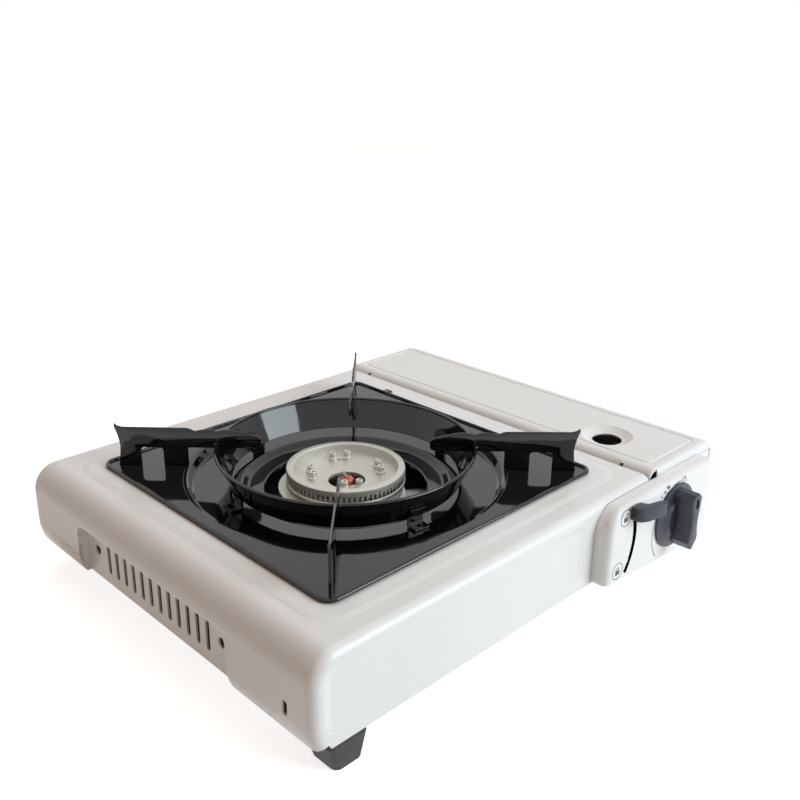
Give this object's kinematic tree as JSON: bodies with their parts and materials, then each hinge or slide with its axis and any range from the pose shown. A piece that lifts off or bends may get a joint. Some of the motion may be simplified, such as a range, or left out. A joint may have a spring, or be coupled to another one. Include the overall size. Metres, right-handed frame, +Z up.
{
  "type": "portable butane cassette stove",
  "caption": "Portable gas stove with an enamelled housing, lift-out drip pan and pan support, slotted burner, hinged canister lid, rotary ignition knob and canister lock lever.",
  "frame": {"origin": "centre of the floor area that the stove covers, knob included, on the floor under its feet", "axes": "+X to the canister side, +Y to the back, away from the knob, +Z up"},
  "size_m": [0.349, 0.2994, 0.0997],
  "materials": {
    "enamel_white": "gloss baked enamel",
    "enamel_black": "gloss vitreous enamel",
    "steel": "zinc-plated sheet",
    "cast_aluminium": "fine cast",
    "brass": "turned",
    "dark_plastic": "satin moulded",
    "foot_plastic": "satin moulded",
    "rubber": "matt",
    "ceramic": "glazed ceramic"
  },
  "bodies": {
    "stove_body": {"housing": "enamel_white", "base_plate": "steel", "partition": "steel", "control_panel": "enamel_white", "hinge_pins": "steel", "burner_head": "cast_aluminium", "flame_ring": "cast_aluminium", "burner_base": "cast_aluminium", "burner_bracket": "steel", "burner_screws": "steel", "burner_jets": "cast_aluminium", "mixing_tube": "steel", "gas_nozzle": "brass", "gas_tube": "steel", "regulator_body": "cast_aluminium", "regulator_cap": "steel", "inlet_collar": "steel", "inlet_seal": "rubber", "regulator_bracket": "steel", "igniter_body": "dark_plastic", "igniter_lead": "rubber", "electrode": "steel", "electrode_insulator": "ceramic", "lever_pivot": "steel", "pusher_guides": "dark_plastic", "canister_guide": "steel", "foot_front_left": "foot_plastic", "foot_front_right": "foot_plastic", "foot_rear_left": "foot_plastic", "foot_rear_right": "foot_plastic", "foot_screws": "steel", "panel_screws": "steel", "base_screws": "steel"},
    "lid": {"lid": "enamel_white"},
    "drip_tray": {"drip_pan": "enamel_black", "support_ring": "enamel_black", "pan_arm_1": "enamel_black", "pan_arm_2": "enamel_black", "pan_arm_3": "enamel_black", "pan_arm_4": "enamel_black", "ring_feet": "enamel_black"},
    "knob": {"knob": "dark_plastic", "valve_stem": "steel"},
    "igniter_plunger": {"igniter_plunger": "cast_aluminium"},
    "lever": {"lever_arm": "steel", "lever_grip": "dark_plastic"},
    "pusher": {"push_bar": "steel", "canister_pusher": "steel"}
  },
  "joints": [
    {"name": "lid_hinge", "type": "hinge", "parent": "stove_body", "child": "lid", "pos_m": [0.102, 0.01275, 0.0665], "axis": [0, -1, 0], "range_deg": [0, 95]},
    {"name": "drip_tray_lift", "type": "slide", "parent": "stove_body", "child": "drip_tray", "axis": [0, 0, 1], "range_m": [0, 0.06]},
    {"name": "knob_turn", "type": "hinge", "parent": "stove_body", "child": "knob", "pos_m": [0.1085, -0.13, 0.0439], "axis": [0, -1, 0], "range_deg": [0, 130]},
    {"name": "igniter_slide", "type": "slide", "parent": "stove_body", "child": "igniter_plunger", "axis": [-1, 0, 0], "range_m": [0, 0.0045]},
    {"name": "lever_swing", "type": "hinge", "parent": "stove_body", "child": "lever", "pos_m": [0.0235, -0.113, 0.0464], "axis": [0, 1, 0], "range_deg": [0, 54]},
    {"name": "pusher_slide", "type": "slide", "parent": "stove_body", "child": "pusher", "axis": [0, -1, 0], "range_m": [0, 0.005]}
  ],
  "couplings": [
    {"joint": "igniter_slide", "follows": "knob_turn", "m_per_rad": 0.001983},
    {"joint": "pusher_slide", "follows": "lever_swing", "m_per_rad": 0.005305}
  ]
}
